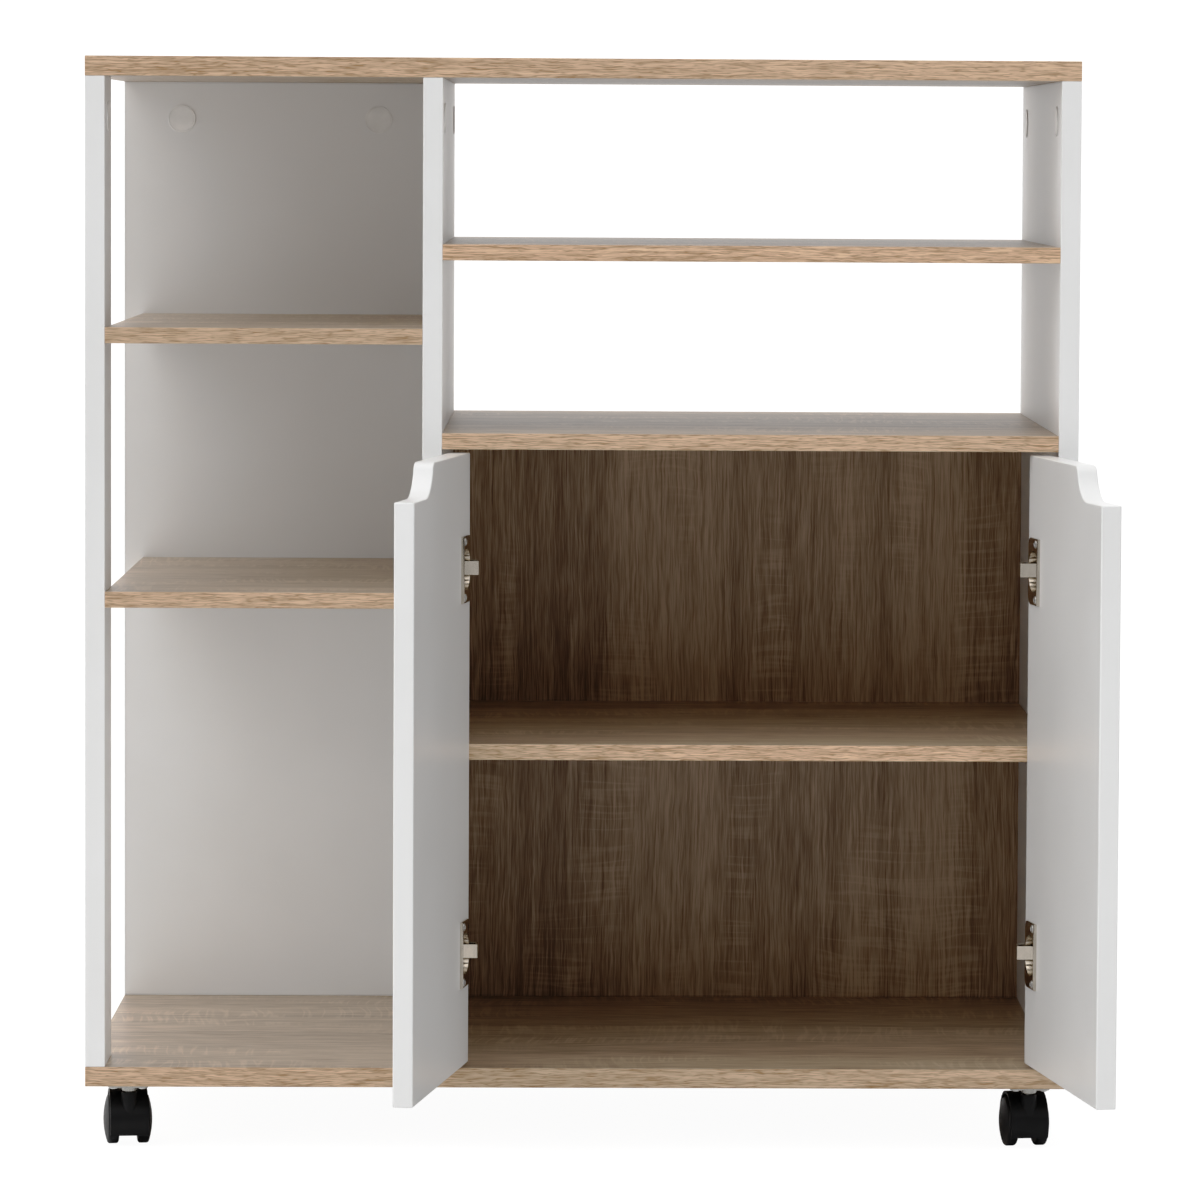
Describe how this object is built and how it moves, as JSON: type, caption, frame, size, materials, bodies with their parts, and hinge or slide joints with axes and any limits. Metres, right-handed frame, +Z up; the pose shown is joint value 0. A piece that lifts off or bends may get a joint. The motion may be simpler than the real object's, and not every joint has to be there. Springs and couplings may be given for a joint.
{
  "type": "kitchen cart",
  "caption": "Low kitchen cart on swivel castors: an open bay of shelves beside open shelves and a two-door cabinet, with a wood-look top and white panels.",
  "frame": {"origin": "middle of the base of the whole cart's bounding box, at floor level, with both doors open at the stop", "axes": "+X from the open bay to the cabinet, +Y from the doors to the back, +Z up"},
  "size_m": [0.8162, 0.663, 0.884],
  "materials": {
    "white_board": "satin white melamine face on chipboard",
    "oak_board": "satin light oak decor on chipboard",
    "hinge_nickel": "nickel plated, satin",
    "hinge_pin": "bright",
    "zinc_screw": "bright zinc plated",
    "castor_steel": "bright zinc plated",
    "castor_axle": "plain steel",
    "castor_hood": "satin black",
    "castor_wheel": "satin dark grey",
    "cam_zinc": "die cast, dull",
    "white_cap": "smooth white",
    "dowel_beech": "plain beech",
    "pin_steel": "nickel plated"
  },
  "bodies": {
    "carcass": {"bottom_board": "oak_board", "cabinet_back_panel": "oak_board", "cabinet_inner_shelf": "oak_board", "cabinet_top_shelf": "oak_board", "cam_bolts": "zinc_screw", "cam_covers": "white_cap", "cam_locks": "cam_zinc", "castor_front_left_plate": "castor_steel", "castor_front_right_plate": "castor_steel", "castor_rear_left_plate": "castor_steel", "castor_rear_right_plate": "castor_steel", "castor_screws": "zinc_screw", "centre_panel": "white_board", "dowels": "dowel_beech", "hinge_arm_screws": "zinc_screw", "hinge_plate_screws": "zinc_screw", "left_back_panel": "white_board", "left_front_post": "white_board", "left_lower_hinge_arm": "hinge_nickel", "left_lower_hinge_plate": "hinge_nickel", "left_lower_shelf": "oak_board", "left_upper_hinge_arm": "hinge_nickel", "left_upper_hinge_plate": "hinge_nickel", "left_upper_shelf": "oak_board", "long_screws": "zinc_screw", "open_shelf": "oak_board", "right_lower_hinge_arm": "hinge_nickel", "right_lower_hinge_plate": "hinge_nickel", "right_side_panel": "white_board", "right_upper_hinge_arm": "hinge_nickel", "right_upper_hinge_plate": "hinge_nickel", "screw_caps": "white_cap", "shelf_pins": "pin_steel", "top_board": "oak_board"},
    "left_door_leaf": {"left_door": "white_board", "left_lower_hinge_cup": "hinge_nickel", "left_upper_hinge_cup": "hinge_nickel", "left_hinge_pins": "hinge_pin", "left_cup_screws": "zinc_screw"},
    "right_door_leaf": {"right_door": "white_board", "right_lower_hinge_cup": "hinge_nickel", "right_upper_hinge_cup": "hinge_nickel", "right_hinge_pins": "hinge_pin", "right_cup_screws": "zinc_screw"},
    "castor_front_left_fork": {"castor_front_left_hood": "castor_hood", "castor_front_left_axle": "castor_axle"},
    "castor_front_left_left_roller": {"castor_front_left_left_wheel": "castor_wheel"},
    "castor_front_left_right_roller": {"castor_front_left_right_wheel": "castor_wheel"},
    "castor_front_right_fork": {"castor_front_right_hood": "castor_hood", "castor_front_right_axle": "castor_axle"},
    "castor_front_right_left_roller": {"castor_front_right_left_wheel": "castor_wheel"},
    "castor_front_right_right_roller": {"castor_front_right_right_wheel": "castor_wheel"},
    "castor_rear_left_fork": {"castor_rear_left_hood": "castor_hood", "castor_rear_left_axle": "castor_axle"},
    "castor_rear_left_left_roller": {"castor_rear_left_left_wheel": "castor_wheel"},
    "castor_rear_left_right_roller": {"castor_rear_left_right_wheel": "castor_wheel"},
    "castor_rear_right_fork": {"castor_rear_right_hood": "castor_hood", "castor_rear_right_axle": "castor_axle"},
    "castor_rear_right_left_roller": {"castor_rear_right_left_wheel": "castor_wheel"},
    "castor_rear_right_right_roller": {"castor_rear_right_right_wheel": "castor_wheel"}
  },
  "joints": [
    {"name": "left_door_hinge", "type": "hinge", "parent": "carcass", "child": "left_door_leaf", "pos_m": [-0.10858, -0.09779, 0.31875], "axis": [0, 0, 1], "range_deg": [0, 99]},
    {"name": "right_door_hinge", "type": "hinge", "parent": "carcass", "child": "right_door_leaf", "pos_m": [0.36502, -0.09779, 0.31875], "axis": [0, 0, -1], "range_deg": [0, 99]},
    {"name": "castor_front_left_swivel", "type": "hinge", "parent": "carcass", "child": "castor_front_left_fork", "pos_m": [-0.37328, -0.08229, 0.04], "axis": [0, 0, 1], "continuous": true},
    {"name": "castor_front_left_left_spin", "type": "hinge", "parent": "castor_front_left_fork", "child": "castor_front_left_left_roller", "pos_m": [-0.37564, -0.06546, 0.02], "axis": [0.9903, 0.1392, 0], "continuous": true},
    {"name": "castor_front_left_right_spin", "type": "hinge", "parent": "castor_front_left_fork", "child": "castor_front_left_right_roller", "pos_m": [-0.37564, -0.06546, 0.02], "axis": [0.9903, 0.1392, 0], "continuous": true},
    {"name": "castor_front_right_swivel", "type": "hinge", "parent": "carcass", "child": "castor_front_right_fork", "pos_m": [0.35872, -0.08229, 0.04], "axis": [0, 0, 1], "continuous": true},
    {"name": "castor_front_right_left_spin", "type": "hinge", "parent": "castor_front_right_fork", "child": "castor_front_right_left_roller", "pos_m": [0.35636, -0.06546, 0.02], "axis": [0.9903, 0.1392, 0], "continuous": true},
    {"name": "castor_front_right_right_spin", "type": "hinge", "parent": "castor_front_right_fork", "child": "castor_front_right_right_roller", "pos_m": [0.35636, -0.06546, 0.02], "axis": [0.9903, 0.1392, 0], "continuous": true},
    {"name": "castor_rear_left_swivel", "type": "hinge", "parent": "carcass", "child": "castor_rear_left_fork", "pos_m": [-0.37328, 0.30871, 0.04], "axis": [0, 0, 1], "continuous": true},
    {"name": "castor_rear_left_left_spin", "type": "hinge", "parent": "castor_rear_left_fork", "child": "castor_rear_left_left_roller", "pos_m": [-0.37328, 0.29171, 0.02], "axis": [-1, 0, 0], "continuous": true},
    {"name": "castor_rear_left_right_spin", "type": "hinge", "parent": "castor_rear_left_fork", "child": "castor_rear_left_right_roller", "pos_m": [-0.37328, 0.29171, 0.02], "axis": [-1, 0, 0], "continuous": true},
    {"name": "castor_rear_right_swivel", "type": "hinge", "parent": "carcass", "child": "castor_rear_right_fork", "pos_m": [0.35872, 0.30871, 0.04], "axis": [0, 0, 1], "continuous": true},
    {"name": "castor_rear_right_left_spin", "type": "hinge", "parent": "castor_rear_right_fork", "child": "castor_rear_right_left_roller", "pos_m": [0.35872, 0.29171, 0.02], "axis": [-1, 0, 0], "continuous": true},
    {"name": "castor_rear_right_right_spin", "type": "hinge", "parent": "castor_rear_right_fork", "child": "castor_rear_right_right_roller", "pos_m": [0.35872, 0.29171, 0.02], "axis": [-1, 0, 0], "continuous": true}
  ]
}
